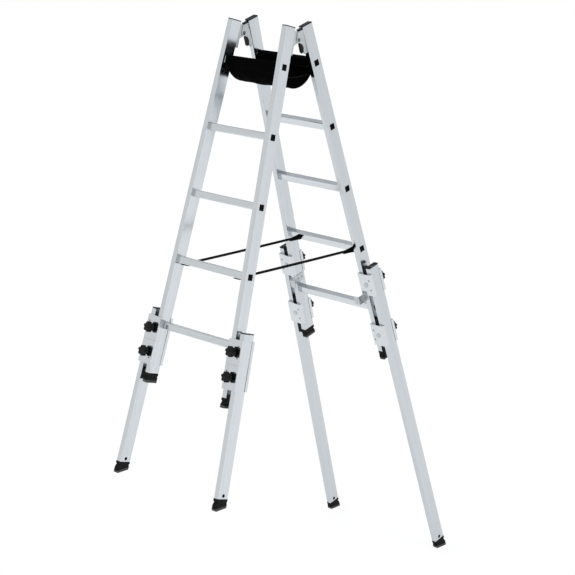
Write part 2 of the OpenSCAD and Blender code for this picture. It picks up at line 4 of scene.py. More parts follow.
import bmesh
import bpy
import numpy as np
from mathutils import Matrix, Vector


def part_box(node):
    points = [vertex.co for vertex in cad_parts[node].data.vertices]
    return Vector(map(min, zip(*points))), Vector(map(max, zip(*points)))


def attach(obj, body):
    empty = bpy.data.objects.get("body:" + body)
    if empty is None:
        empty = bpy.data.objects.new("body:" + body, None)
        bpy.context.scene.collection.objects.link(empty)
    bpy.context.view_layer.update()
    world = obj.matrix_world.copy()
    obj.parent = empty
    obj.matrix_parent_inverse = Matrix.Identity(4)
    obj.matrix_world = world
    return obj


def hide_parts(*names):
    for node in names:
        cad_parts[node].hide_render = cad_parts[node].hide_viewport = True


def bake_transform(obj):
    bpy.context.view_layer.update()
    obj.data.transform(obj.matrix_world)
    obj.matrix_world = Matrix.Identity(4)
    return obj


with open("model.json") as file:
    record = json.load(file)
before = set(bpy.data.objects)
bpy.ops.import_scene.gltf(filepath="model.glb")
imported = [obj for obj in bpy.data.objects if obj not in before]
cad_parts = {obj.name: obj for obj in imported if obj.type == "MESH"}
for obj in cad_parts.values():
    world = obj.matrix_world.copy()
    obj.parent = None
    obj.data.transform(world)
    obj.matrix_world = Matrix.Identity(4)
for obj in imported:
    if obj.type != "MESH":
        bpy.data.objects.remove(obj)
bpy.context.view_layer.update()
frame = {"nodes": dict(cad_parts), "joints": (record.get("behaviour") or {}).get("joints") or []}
print("frame loaded with", len(frame["nodes"]), "nodes")

# sizes of the frame that the soft pieces and knobs sit on, in metres and degrees
ladder = {
    "lean": 16.35,
    "splay": 2.96,
    "hingeWidth": 0.336,
    "stileWidth": 0.024,
    "stileMid": 0.061,  # out from the hinge pin
    "firstRung": 0.1215,  # down from the hinge pin
    "rungPitch": 0.28,
    "rungSide": 0.030,
    "clothGap": 0.0003,
    "footSole": 1.491,  # along a stile from the hinge pin
}
joints = {j["name"]: j for j in frame["joints"]}
hingePin = np.array(joints["fold"]["pos_m"], float)
leanAngle = math.radians(ladder["lean"])
splayAngle = math.radians(ladder["splay"])
# from the ladder's middle across to a stile's middle line, at the hinge pin
stileStart = ladder["hingeWidth"] / 2 - ladder["stileWidth"] / 2 / math.cos(splayAngle)


def sectionPoint(front, across, out, down):
    # point of a section: across the ladder, out from the pin, down along the section
    across, out, down = np.broadcast_arrays(np.asarray(across, float), out, down)
    reach = down * math.sin(leanAngle) + out * math.cos(leanAngle)
    rise = out * math.sin(leanAngle) - down * math.cos(leanAngle)
    return hingePin + np.stack([across, -reach if front else reach, rise], axis=-1)


def sectionTip(front):
    # angle by which a section leans about the hinge pin
    return -leanAngle if front else leanAngle


def stileTurn(front, right):
    # turn of one stile as a matrix: its third column runs up the stile
    side = -splayAngle if right else splayAngle
    return Matrix.Rotation(sectionTip(front), 3, "X") @ Matrix.Rotation(side, 3, "Y")


# camera

cameraSettings = {
    "place": (5.12737, -5.11479, 0.94868),  # from the hinge pin
    "right": (0.713212, 0.700949, 0.0),
    "up": (-0.186732, 0.189999, 0.963863),
    "focal": 1790.73,  # pixels across a frame of 575
    "frame": 575.0,
    "sensor": 36.0,  # millimetres
    "clipEnd": 200.0,
}


def placeCamera(s):
    # the camera's matrix has its right, up and back directions and its place as columns
    lens = bpy.data.cameras.new("photoCamera")
    lens.sensor_width = s["sensor"]
    lens.lens = s["focal"] / s["frame"] * s["sensor"]
    lens.clip_end = s["clipEnd"]
    eye = bpy.data.objects.new("photoCamera", lens)
    right, up = np.array(s["right"]), np.array(s["up"])
    back = np.cross(right, up)
    where = hingePin + np.array(s["place"])
    eye.matrix_world = Matrix([[right[i], up[i], back[i], where[i]] for i in range(3)] + [[0, 0, 0, 1]])
    bpy.context.scene.collection.objects.link(eye)
    bpy.context.scene.camera = eye


placeCamera(cameraSettings)
print("camera placed")


# mesh helpers

def gridFaces(rows, columns, wrap=False):
    # quads between neighbours of a grid of points, counted row by row;
    # wrap joins the last column to the first
    i = np.arange(rows - 1)
    j = np.arange(columns if wrap else columns - 1)
    i, j = [a.ravel() for a in np.meshgrid(i, j, indexing="ij")]
    k, m = i + 1, (j + 1) % columns
    return np.stack([i * columns + j, k * columns + j, k * columns + m, i * columns + m], axis=1)


def unit(vectors):
    # the same directions at length one
    return vectors / np.linalg.norm(vectors, axis=-1, keepdims=True)


def ringAngles(count):
    # even angles round a ring
    return np.linspace(0, 2 * np.pi, count, endpoint=False)


def lathe(radius, level, turn):
    # rings round the third axis: radius times cosine and sine of the turn, each at its level
    height = np.repeat(level[:, None], len(turn), 1)
    return np.stack([radius * np.cos(turn), radius * np.sin(turn), height], axis=-1)


def makePiece(name, points, faces, uv=None, outward=True, sharp=None):
    # a smooth mesh of points and faces; outward closes its seams and turns its faces out,
    # and sharp is the angle in degrees above which an edge stays hard
    mesh = bpy.data.meshes.new(name)
    mesh.from_pydata(np.asarray(points).reshape(-1, 3).tolist(), [], [list(f) for f in faces])
    if uv is not None:
        corner = np.empty(len(mesh.loops), np.int32)
        mesh.loops.foreach_get("vertex_index", corner)
        layer = mesh.uv_layers.new(name="cut")
        layer.data.foreach_set("uv", np.asarray(uv, np.float32).reshape(-1, 2)[corner].ravel())
    if outward:
        seamWidth = 1e-7
        work = bmesh.new()
        work.from_mesh(mesh)
        bmesh.ops.remove_doubles(work, verts=work.verts, dist=seamWidth)
        bmesh.ops.recalc_face_normals(work, faces=work.faces)
        work.to_mesh(mesh)
        work.free()
    mesh.polygons.foreach_set("use_smooth", np.ones(len(mesh.polygons), bool))
    if sharp:
        mesh.set_sharp_from_angle(angle=math.radians(sharp))
    piece = bpy.data.objects.new(name, mesh)
    bpy.context.scene.collection.objects.link(piece)
    return piece


def makeTube(name, rings, sharp=None):
    # a piece of rings in a row, with its first and last ring closed
    rows, columns = rings.shape[:2]
    first = list(range(columns))
    last = list(range((rows - 1) * columns, rows * columns))
    faces = [list(f) for f in gridFaces(rows, columns, True)] + [first, last]
    return makePiece(name, rings, faces, sharp=sharp)


def tubeAlong(path, radius, sides):
    # rings of a round tube: each ring stands square to the path's run, turned with it
    path = np.asarray(path, float)
    run = unit(np.gradient(path, axis=0))
    # where the run is nearly across the ladder, the rings start from the upright instead
    nearlyAcross = 0.9
    lead = np.zeros_like(run)
    lead[:, 0] = 1.0
    lead[np.abs(run[:, 0]) > nearlyAcross] = (0.0, 0.0, 1.0)
    a = unit(np.cross(run, lead))
    b = np.cross(run, a)
    turn = ringAngles(sides)
    radius = np.broadcast_to(radius, (len(path), sides))
    spoke = np.cos(turn)[None, :, None] * a[:, None, :] + np.sin(turn)[None, :, None] * b[:, None, :]
    return path[:, None, :] + radius[..., None] * spoke


def resample(path, count):
    # the same line with points at even distances along it
    path = np.asarray(path, float)
    step = np.r_[0, np.cumsum(np.linalg.norm(np.diff(path, axis=0), axis=1))]
    even = np.linspace(0, step[-1], count)
    return np.stack([np.interp(even, step, path[:, k]) for k in range(path.shape[1])], axis=1)


def soften(path, rounds):
    # each point moved halfway to the mean of its neighbours, ends kept
    for k in range(rounds):
        path[1:-1] = 0.25 * path[:-2] + 0.5 * path[1:-1] + 0.25 * path[2:]
    return path


def giveFinish(piece, finish):
    piece.data.materials.clear()
    piece.data.materials.append(finish)


# shader helper

class Wire:
    # one socket of a material; sums and products of wires add Math nodes
    def __init__(self, tree, socket):
        self.tree = tree
        self.socket = socket

    def node(self, kind, settings, links, out=0):
        made = self.tree.nodes.new(kind)
        for key, value in settings.items():
            setattr(made, key, value)
        for key, value in links.items():
            if isinstance(value, Wire):
                self.tree.links.new(value.socket, made.inputs[key])
            else:
                made.inputs[key].default_value = value
        return Wire(self.tree, made.outputs[out])

    def math(self, operation, a, b=0.0):
        return self.node("ShaderNodeMath", {"operation": operation}, {0: a, 1: b})

    def __add__(self, other):
        return self.math("ADD", self, other)

    def __sub__(self, other):
        return self.math("SUBTRACT", self, other)

    def __rsub__(self, other):
        return self.math("SUBTRACT", other, self)

    def __mul__(self, other):
        return self.math("MULTIPLY", self, other)

    __radd__ = __add__
    __rmul__ = __mul__

    def wave(self):
        return self.math("SINE", self)

    def size(self):
        return self.math("ABSOLUTE", self)

    def band(self, low, high):
        # 0 below low, 1 above high, smooth between
        smooth = {"interpolation_type": "SMOOTHSTEP"}
        return self.node("ShaderNodeMapRange", smooth, {0: self, 1: low, 2: high})

    def between(self, a, b):
        # colour that goes from a to b with this wire
        return self.node("ShaderNodeMix", {"data_type": "RGBA"}, {0: self, 6: a, 7: b}, 2)

    def seenAs(self, scale):
        # a point's place stretched for a pattern
        return self.node("ShaderNodeMapping", {}, {"Vector": self, "Scale": scale})

    def cloud(self, scale, detail=2.0, rough=0.5):
        # soft noise round 0.5
        links = {"Vector": self, "Scale": scale, "Detail": detail, "Roughness": rough}
        return self.node("ShaderNodeTexNoise", {}, links)

    def axis(self, k):
        return self.node("ShaderNodeSeparateXYZ", {}, {0: self}, k)


def startFinish(name, source="Object"):
    # a new material, its surface shader and the wire of the place it is read at
    finish = bpy.data.materials.new(name)
    finish.use_nodes = True
    tree = finish.node_tree
    surface = tree.nodes["Principled BSDF"]
    place = tree.nodes.new("ShaderNodeTexCoord")
    return finish, surface, Wire(tree, place.outputs[source])


def plug(wire, surface, name):
    wire.tree.links.new(wire.socket, surface.inputs[name])


def relief(height, depth, strength):
    # bump whose full height is depth metres
    return height.node("ShaderNodeBump", {}, {"Height": height, "Distance": depth, "Strength": strength})


def fromPin(place, turn):
    # place counted from the hinge pin along turned directions
    return place.node(
        "ShaderNodeMapping", {"vector_type": "TEXTURE"},
        {"Vector": place, "Location": tuple(hingePin), "Rotation": tuple(turn)})


def onStile(place, front, right):
    # place along a stile's own directions
    return fromPin(place, stileTurn(front, right).to_euler("XYZ"))


def onSection(place, front):
    # place along a section's own directions
    return fromPin(place, (sectionTip(front), 0.0, 0.0))


def eitherStile(place, front):
    # distance down either stile of a section from the hinge pin, and outwards from its middle line
    local = onSection(place, front)
    side, up = local.axis(0).size() - stileStart, local.axis(2)
    c, s = math.cos(splayAngle), math.sin(splayAngle)
    return side * s - up * c, side * c + up * s


def toned(shade, tone):
    # a colour made lighter or darker
    return tuple(c * tone for c in shade[:3]) + (1.0,)


def grainAlong(grain, alongRung=False):
    # scale of a pattern drawn out along a rung or along a stile
    across, along = grain
    return (along, across, across) if alongRung else (across, across, along)


# finishes

profileLook = {
    "bright": (0.632, 0.664, 0.688, 1.0),
    "dull": (0.572, 0.604, 0.628, 1.0),
    "rough": 0.13,
    "roughSpread": 0.09,
    "dieLine": 0.000012,
    "lines": (700.0, 3.0),  # scale across and along the length
    "bands": (60.0, 1.2),
    "haze": 9.0,
}


def profileFinish(name, front, right, alongRung=False, tone=1.0):
    # extruded aluminium: fine die lines along the length, broad tone bands and handling haze
    s = profileLook
    finish, surface, place = startFinish(name)
    local = onStile(place, front, right)
    lines = local.seenAs(grainAlong(s["lines"], alongRung)).cloud(1.0, 3.0, 0.6)
    bands = local.seenAs(grainAlong(s["bands"], alongRung)).cloud(1.0, 2.0)
    haze = local.cloud(s["haze"], 4.0, 0.6).band(0.42, 0.72)
    dull, bright = toned(s["dull"], tone), toned(s["bright"], tone)
    plug((bands * 0.6 + lines * 0.4).band(0.25, 0.75).between(dull, bright), surface, "Base Color")
    spread = s["roughSpread"]
    plug(s["rough"] + lines * (spread * 0.5) + haze * (spread * 0.8), surface, "Roughness")
    plug(relief(lines, s["dieLine"], 0.6), surface, "Normal")
    surface.inputs["Metallic"].default_value = 1.0
    return finish


clampLook = {
    "bright": (0.640, 0.668, 0.690, 1.0),
    "dull": (0.585, 0.612, 0.634, 1.0),
    # painted shade: black for the dark gap between a lip and its tube
    "edging": (0.020, 0.020, 0.021, 1.0),
    "rough": 0.10,
    "lines": (500.0, 4.0),  # scale across and along the stile
    "lineDepth": 0.000008,
    "marks": 45.0,
    "lipEnds": (0.039, 0.083),  # out from the hinge pin
    "edgingHalf": (0.0003, 0.0004),  # where the painted gap shade starts and ends to fade
}


def clampFinish(name, front, right):
    # clear-polished extrusion with faint lines along the stile; the lips' ends are painted black as the shade
    # of the gap between lip and tube
    s = clampLook
    finish, surface, place = startFinish(name)
    local = onStile(place, front, right)
    lines = local.seenAs(grainAlong(s["lines"])).cloud(1.0, 2.0)
    marks = local.cloud(s["marks"], 3.0, 0.7).band(0.55, 0.75)
    out = local.axis(1).size()
    # painted shade: black, not metal, on the lips' end faces, where the gap between lip and tube is dark
    inner, outer = [(out - lip).size().band(*s["edgingHalf"]) for lip in s["lipEnds"]]
    outsideGapShade = inner * outer
    metal = lines.band(0.3, 0.7).between(s["dull"], s["bright"])
    plug(outsideGapShade.between(s["edging"], metal), surface, "Base Color")
    plug(s["rough"] + lines * 0.05 + marks * 0.06 + (1 - outsideGapShade) * 0.4, surface, "Roughness")
    plug(relief(lines, s["lineDepth"], 0.5), surface, "Normal")
    plug(outsideGapShade, surface, "Metallic")
    return finish


zincLook = {
    "light": (0.560, 0.590, 0.596, 1.0),
    "dark": (0.440, 0.470, 0.480, 1.0),
    "rivet": (0.190, 0.202, 0.208, 1.0),
    "rough": 0.30,
    "crystals": 420.0,
    "clouds": 60.0,
    "pits": 900.0,
    "pitDepth": 0.00001,
    "boltOut": 0.0227,  # from a stile's middle line
    "boltHalf": 0.013,
    "boltFade": 0.0005,
}


def zincFinish(name, front=None, tone=1.0):
    # plated sheet and fasteners: small crystal patches and a soft clouding;
    # with a section named, what lies off its clamp bolts is a greyer rivet
    s = zincLook
    finish, surface, place = startFinish(name)
    crystals = {"Vector": place, "Scale": s["crystals"]}
    patch = place.node("ShaderNodeTexVoronoi", {}, crystals, 1).axis(0)
    soft = place.cloud(s["clouds"], 3.0)
    dark, light = toned(s["dark"], tone), toned(s["light"], tone)
    shade = (patch * 0.45 + soft * 0.55).band(0.2, 0.8).between(dark, light)
    if front is not None:
        off = (eitherStile(place, front)[1] - s["boltOut"]).size()
        shade = off.band(s["boltHalf"], s["boltHalf"] + s["boltFade"]).between(shade, s["rivet"])
    plug(shade, surface, "Base Color")
    plug(s["rough"] + patch * 0.08 + soft * 0.08, surface, "Roughness")
    plug(relief(place.cloud(s["pits"]), s["pitDepth"], 0.4), surface, "Normal")
    surface.inputs["Metallic"].default_value = 1.0
    return finish


mouldingLook = {
    "deep": (0.0028, 0.0028, 0.0029, 1.0),
    "pale": (0.0070, 0.0070, 0.0071, 1.0),
    "rough": 0.44,
    "shine": 0.14,
    "grain": 1500.0,
    "grainDepth": 0.00004,
    "rub": 70.0,
    # painted light: bright metal on the guide strips' outward face, for the light seen through the gap
    # between stile and leg
    "backing": (0.800, 0.820, 0.840, 1.0),
    "backingOut": 0.054,  # out from the hinge pin
    "backingHalf": (0.0004, 0.0006),  # where the painted gap light starts and ends to fade
    "backingLow": 1.446,  # down the stile, above the spacers
    "backingFade": 0.001,
    "backingSmooth": 0.32,  # taken off the roughness
}


def paintedGapLightMask(place, front):
    # 1 on the face that the guide strips turn outwards, painted bright metal as the light seen through the
    # gap
    s = mouldingLook
    out = onSection(place, front).axis(1).size()
    flat = 1 - (out - s["backingOut"]).size().band(*s["backingHalf"])
    down = eitherStile(place, front)[0]
    return flat * (1 - down.band(s["backingLow"], s["backingLow"] + s["backingFade"]))


def mouldingFinish(name, tone=1.0, rough=0.0, shine=1.0, front=None):
    # spark-grained black moulding with a little rubbed sheen;
    # with a section named, bright metal is painted on its guide strips' outward face as the light seen
    # through the gap
    s = mouldingLook
    finish, surface, place = startFinish(name)
    grain = place.cloud(s["grain"], 2.0, 0.6)
    rub = place.cloud(s["rub"], 3.0).band(0.4, 0.7)
    shade = rub.between(toned(s["deep"], tone), toned(s["pale"], tone))
    roughness = s["rough"] + grain * 0.10 - rub * 0.06 + rough
    if front is not None:
        # painted light: the guide strips' outward face is turned to bright, smooth metal
        bright = paintedGapLightMask(place, front)
        shade = bright.between(shade, s["backing"])
        roughness = roughness - bright * s["backingSmooth"]
        plug(bright, surface, "Metallic")
    plug(shade, surface, "Base Color")
    plug(roughness, surface, "Roughness")
    plug(relief(grain, s["grainDepth"], 0.5), surface, "Normal")
    surface.inputs["Specular IOR Level"].default_value = s["shine"] * shine
    return finish


shoeLook = {
    "body": (0.0040, 0.0040, 0.0041, 1.0),
    "sole": (0.0100, 0.0100, 0.0100, 1.0),
    # painted highlight: colour of the two pale lines on the tread
    "line": (0.1350, 0.1350, 0.1360, 1.0),
    "dust": (0.0500, 0.0490, 0.0470, 1.0),
    "rough": 0.52,
    "shine": 0.12,
    "grain": 1100.0,
    "grainDepth": 0.00005,
    "wear": 160.0,
    "soleHeight": 0.010,
    "soleFade": 0.002,
    "lines": (0.0036, 0.0080),  # painted highlights of two tread ledges, above the sole
    "lineHalf": 0.0011,
    "backingSmooth": 0.85,  # share taken off the roughness
}


def shoeFinish(name, heightAt, front=None):
    # moulded rubber: two pale lines painted over the sole as highlights of tread ledges, with a little dust;
    # with a section named, bright metal is painted on its guide strips' outward face as the light seen
    # through the gap
    s = shoeLook
    finish, surface, place = startFinish(name)
    height = heightAt(place)
    grain = place.cloud(s["grain"], 2.0, 0.6)
    worn = place.cloud(s["wear"], 4.0, 0.65)
    tread = 1 - (height + worn * s["soleFade"]).band(s["soleHeight"], s["soleHeight"] + s["soleFade"])
    dusty = tread * worn.band(0.52, 0.78) * 0.4
    near, far = s["lineHalf"] * 0.7, s["lineHalf"] * 1.3
    # painted highlight: two pale lines at set heights over the sole
    low, high = [1 - (height - z).size().band(near, far) for z in s["lines"]]
    shade = dusty.between(tread.between(s["body"], s["sole"]), s["dust"])
    shade = ((low + high) * (0.75 + worn * 0.4)).between(shade, s["line"])
    roughness = s["rough"] + tread * 0.22 + grain * 0.10
    if front is not None:
        # painted light: the guide strips' outward face is turned to bright, smooth metal
        bright = paintedGapLightMask(place, front)
        shade = bright.between(shade, mouldingLook["backing"])
        roughness = roughness * (1 - bright * s["backingSmooth"])
        plug(bright, surface, "Metallic")
    plug(shade, surface, "Base Color")
    plug(roughness, surface, "Roughness")
    plug(relief(grain - (low + high) * 2.0, s["grainDepth"], 0.6), surface, "Normal")
    surface.inputs["Specular IOR Level"].default_value = s["shine"]
    return finish


def levelHeight(sole):
    # height over a level sole
    return lambda place: place.axis(2) - sole


def squareHeight(front):
    # height over a sole that stands square to its stile
    return lambda place: ladder["footSole"] - eitherStile(place, front)[0]


clothLook = {
    "deep": (0.0006, 0.0006, 0.0007, 1.0),
    "pale": (0.0022, 0.0022, 0.0023, 1.0),
    "rough": 0.78,
    "shine": 0.008,
    "sheen": 0.001,
    "sheenRough": 0.5,
    "yarn": 0.0011,
    "slubs": (40.0, 900.0, 1.0),
    "fade": 22.0,
    "relief": 0.00022,
}


def clothFinish(name):
    # plain weave read off the cut's own map in metres: warp over weft, turn about
    s = clothLook
    finish, surface, place = startFinish(name, "UV")
    warp, weft = [(place.axis(k) * (2 * math.pi / s["yarn"])).wave() for k in (0, 1)]
    weave = 0.5 + warp * weft * 0.5
    slub = place.seenAs(s["slubs"]).cloud(1.0, 3.0)
    fade = place.cloud(s["fade"], 4.0, 0.6)
    plug((weave * 0.55 + slub * 0.25 + fade * 0.2).between(s["deep"], s["pale"]), surface, "Base Color")
    plug(s["rough"] + weave * 0.10 + slub * 0.08, surface, "Roughness")
    plug(relief(weave + slub * 0.4, s["relief"], 0.7), surface, "Normal")
    surface.inputs["Specular IOR Level"].default_value = s["shine"]
    surface.inputs["Sheen Weight"].default_value = s["sheen"]
    surface.inputs["Sheen Roughness"].default_value = s["sheenRough"]
    return finish


threadLook = {
    "deep": (0.0020, 0.0020, 0.0021, 1.0),
    "pale": (0.0070, 0.0070, 0.0072, 1.0),
    "rough": 0.70,
    "shine": 0.08,
    "sheen": 0.004,
    "fuzz": 1800.0,
    "fuzzDepth": 0.00012,
    "clouds": 120.0,
}


def threadFinish(name):
    # twisted black yarn for cords, bindings and stitches
    s = threadLook
    finish, surface, place = startFinish(name)
    fuzz = place.cloud(s["fuzz"], 3.0, 0.7)
    soft = place.cloud(s["clouds"], 2.0)
    plug((fuzz * 0.6 + soft * 0.4).between(s["deep"], s["pale"]), surface, "Base Color")
    plug(s["rough"] + fuzz * 0.2, surface, "Roughness")
    plug(relief(fuzz, s["fuzzDepth"], 0.6), surface, "Normal")
    surface.inputs["Specular IOR Level"].default_value = s["shine"]
    surface.inputs["Sheen Weight"].default_value = s["sheen"]
    return finish


def makeFinishes():
    # the finishes of the frame, by key: some for all of it, some for a section or one stile
    # painted shade: the rear section's stiles and legs are the same aluminium made darker
    rearShadeTone = 0.92
    made = {
        "zinc": zincFinish("zincSheet"),
        "pin": zincFinish("pinSteel", tone=0.30),
        "moulding": mouldingFinish("blackMoulding"),
        "plug": mouldingFinish("plugMoulding", tone=0.35, shine=0.25),
        "guard": mouldingFinish("guardMoulding", tone=2.6, rough=-0.04, shine=1.3),
    }
    for half in ("front", "rear"):
        front, tag = half == "front", half.capitalize()
        for side in ("left", "right"):
            right, corner = side == "right", tag + side.capitalize()
            tone = 1.0 if front else rearShadeTone
            made[half + side] = profileFinish("profile" + corner, front, right, tone=tone)
            made["clamp" + half + side] = clampFinish("clamp" + corner, front, right)
        made["rung" + half] = profileFinish("rung" + tag, front, True, alongRung=True)
        made["clamps" + half] = clampFinish("clampPair" + tag, front, True)
        made["fixing" + half] = zincFinish("fixing" + tag, front)
        made["foot" + half] = shoeFinish("footRubber" + tag, squareHeight(front), front)
        made["guide" + half] = mouldingFinish("guideMoulding" + tag, front=front)
        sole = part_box(half + "_left_leg_shoe")[0][2]
        made["shoe" + half] = shoeFinish("shoeRubber" + tag, levelHeight(sole))
    return made


def finishKey(name):
    # key of the finish that a node's real piece has, by the end of the node's name
    half = "front" if name.startswith("front") else "rear"
    side = "right" if "_right_" in name else "left"
    keys = {
        ("_stile", "_leg"): half + side,
        ("_rung_1", "_rung_2", "_rung_3", "_rung_4", "_rung_5"): "rung" + half,
        "_upper_clamp": "clamp" + half + side,
        "_lower_clamps": "clamps" + half,
        "_fasteners": "fixing" + half,
        "hinge_pins": "pin",
        ("hinge_leaves", "stop_brackets"): "zinc",
        "hinge_guards": "guard",
        "_leg_guide": "guide" + half,
        "_leg_shoe": "shoe" + half,
        "_stile_feet": "foot" + half,
        "_rung_plugs": "plug",
    }
    return next((key for end, key in keys.items() if name.endswith(end)), "moulding")


finishes = makeFinishes()
for nodeName, nodePiece in frame["nodes"].items():
    giveFinish(nodePiece, finishes[finishKey(nodeName)])
print("frame dressed with", len(finishes), "finishes")


# restraint straps: braided cords from a sewn tab at the front rung to a boot on the rear rung

strapSettings = {
    "ends": [(-0.166, -0.138), (0.148, 0.176)],  # across the ladder at the front and the rear rung
    "dips": [(0.010, 0.0035), (0.010, 0.0045)],  # below the rungs' middles
    "rung": 4,
    "seatGap": 0.002,  # from a rung's cloth line to the cord's ends
    "radius": 0.0055,
    "braid": 0.14,  # share of the radius that the braid takes up
    "carriers": 8,
    "lay": 0.030,
    "slack": 0.001,
    "rings": 420,
    "sides": 48,
    "endThick": 0.0044,
    "tabWidth": 0.036,
    "tabGap": 0.0002,
    "tabRise": 0.005,  # above the rung's middle, behind it
    "tabReach": 0.004,  # past the rung's middle, under it
    "tabBend": 0.004,
    "tabSides": 20,
    "tabCorners": (0.35, 0.6),  # how square the webbing is, across and through
    "bootRadius": (0.0118, 0.0072),  # at the rung and at its far end
    "bootTaper": 1.3,
    "bootLength": 0.054,
    "bootSunk": 0.0012,
    "bootHang": 0.0030,  # of its far end below the cord
    "bootRibs": 11,
    "bootRib": 0.00025,
    "bootRound": 0.0015,
    "bootRoundFrom": 0.94,  # of its length
    "bootRings": 64,
}


def strapCord(s, start, end):
    # line: straight from start to end, with a sag of four slacks times t times one minus t;
    # skin: a tube whose radius swells where either set of carriers crosses
    t = np.linspace(0, 1, s["rings"])
    line = start + (end - start) * t[:, None]
    line[:, 2] -= 4 * s["slack"] * t * (1 - t)
    length = float(np.linalg.norm(np.diff(line, axis=0), axis=1).sum())
    turn = s["carriers"] / 2 * ringAngles(s["sides"])[None, :]
    twist = (2 * np.pi * length / s["lay"] * t)[:, None]
    weave = np.maximum(np.abs(np.sin(turn + twist)), np.abs(np.sin(turn - twist)))
    return line, length, tubeAlong(line, s["radius"] * (1 - s["braid"] + s["braid"] * weave), s["sides"])


def strapTab(s, across, drop, half):
    # webbing down the back of the front rung, round its lower edge and along its underside:
    # a rounded strip profile, wide across the ladder, carried along that line
    straight, bent = 10, 12
    r = s["tabBend"]
    mid = half + s["endThick"] / 2 + s["tabGap"]
    bend = np.linspace(0, np.pi / 2, bent)
    line = np.concatenate([
        np.stack([np.full(straight, -mid), np.linspace(-s["tabRise"], mid - r, straight)], 1),
        np.stack([-mid + r - r * np.cos(bend), mid - r + r * np.sin(bend)], 1)[1:],
        np.stack([np.linspace(-mid + r, s["tabReach"], straight), np.full(straight, mid)], 1)[1:]])
    run = unit(np.gradient(line, axis=0))
    out, down = ladder["stileMid"] + line[:, 0], drop + line[:, 1]
    spine = sectionPoint(True, across, out, down)
    normal = sectionPoint(True, across, out - run[:, 1], down + run[:, 0]) - spine
    turn = ringAngles(s["tabSides"])
    squareWide, squareDeep = s["tabCorners"]
    wide = np.sign(np.cos(turn)) * np.abs(np.cos(turn)) ** squareWide * s["tabWidth"] / 2
    deep = np.sign(np.sin(turn)) * np.abs(np.sin(turn)) ** squareDeep * s["endThick"] / 2
    rings = spine[:, None, :] + normal[:, None, :] * deep[None, :, None]
    return rings + np.array([1.0, 0.0, 0.0]) * wide[None, :, None]


def strapBoot(s, start, end):
    # a ribbed cone back along the cord's line, hanging a little at its far end;
    # its first rings are sheared along the cord until they lie flat on the rung
    u = np.linspace(0, 1, s["bootRings"])
    run = unit(start - end)
    tail = end + run * (u * s["bootLength"] - s["bootSunk"])[:, None]
    tail[:, 2] -= s["bootHang"] * np.sin(u * np.pi / 2) ** 2
    wide, slim = s["bootRadius"]
    swell = slim + (wide - slim) * (1 - u) ** s["bootTaper"]
    swell += s["bootRib"] * np.cos(u * 2 * np.pi * s["bootRibs"])
    roundFrom = s["bootRoundFrom"]
    swell -= s["bootRound"] * np.clip((u - roundFrom) / (1 - roundFrom), 0, 1) ** 2
    rings = tubeAlong(tail, swell[:, None], s["sides"])
    facing = sectionPoint(False, 0.0, 0.0, 0.0) - sectionPoint(False, 0.0, 1.0, 0.0)
    slide = (rings - tail[:, None]) @ facing / (run @ facing)
    return rings - run * (slide * ((1 - u) ** 3)[:, None])[..., None]


def strapPieces(s, finish):
    drop = ladder["firstRung"] + (s["rung"] - 1) * ladder["rungPitch"]
    half = ladder["rungSide"] / 2 + ladder["clothGap"]
    seat = ladder["stileMid"] - half - s["seatGap"]
    for side, (atFront, atRear), (frontDip, rearDip) in zip(("left", "right"), s["ends"], s["dips"]):
        start = sectionPoint(True, atFront, seat, drop + frontDip)
        end = sectionPoint(False, atRear, seat, drop + rearDip)
        path, length, skin = strapCord(s, start, end)
        rope = makeTube(side + "StrapCord", skin)
        tab = makeTube(side + "StrapTab", strapTab(s, atFront, drop, half), sharp=50)
        boot = makeTube(side + "StrapBoot", strapBoot(s, start, end), sharp=60)
        giveFinish(rope, finish)
        giveFinish(tab, finish)
        giveFinish(boot, finishes["plug"])
        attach(tab, "front_section")
        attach(boot, "rear_section")
        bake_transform(rope)
        for piece in (rope, tab, boot):
            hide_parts("restraint_straps")
        print(side, "strap cord is", round(length, 4), "m long")


threads = threadFinish("blackYarn")
strapPieces(strapSettings, threads)


# tool pouch: cloth over both top rungs, a round belly between them and D-shaped ends

pouchSettings = {
    "half": 0.1450,
    "bellyRadius": 0.1035,
    "bellyDrop": 0.091,
    "bellyFrom": 24.0,  # degrees below level where the belly leaves its rung
    "cloth": 0.0024,
    "sleeveGap": 0.0018,  # from a rung to the middle of its sleeve's cloth
    "sleeveRadius": 0.0058,
    "sleeveHem": 0.003,  # from the sleeve's free edge to its lower corner
    "across": 141,  # points across the ladder and along the cloth's line
    "along": 301,
    "seamLevel": -0.112,  # where the piping starts, below the hinge pin
    "endLevel": -0.147,  # top edge of the ends, below the hinge pin
    "endStart": 0.010,  # from the top edge down to where the ends are sewn in
    "endDraw": 0.97,  # width of the top edge, of the belly's there
    "endSag": 0.004,
    "endBulge": 0.0016,
    "endInset": 0.001,
    "endRows": 40,
    "endCloth": 0.9,  # of the panel's thickness
    "wrinkle": 0.0011,
    "wrinkleFrom": -0.105,  # below the hinge pin
    "wrinkleOver": 0.05,
    "sag": 0.0025,
    "pipeRadius": 0.0021,
    "pipeInset": 0.0008,
    "hemRadius": 0.0022,
    "bindingSides": 14,
    "stitchRows": (8, 86, 90),  # points along the cloth's line from either edge
    "stitchPitch": 0.0048,
    "stitchLength": 0.0031,
    "stitchRadius": 0.00042,
    "stitchBow": 0.0006,
    "stitchRings": 7,
    "stitchSides": 6,
}


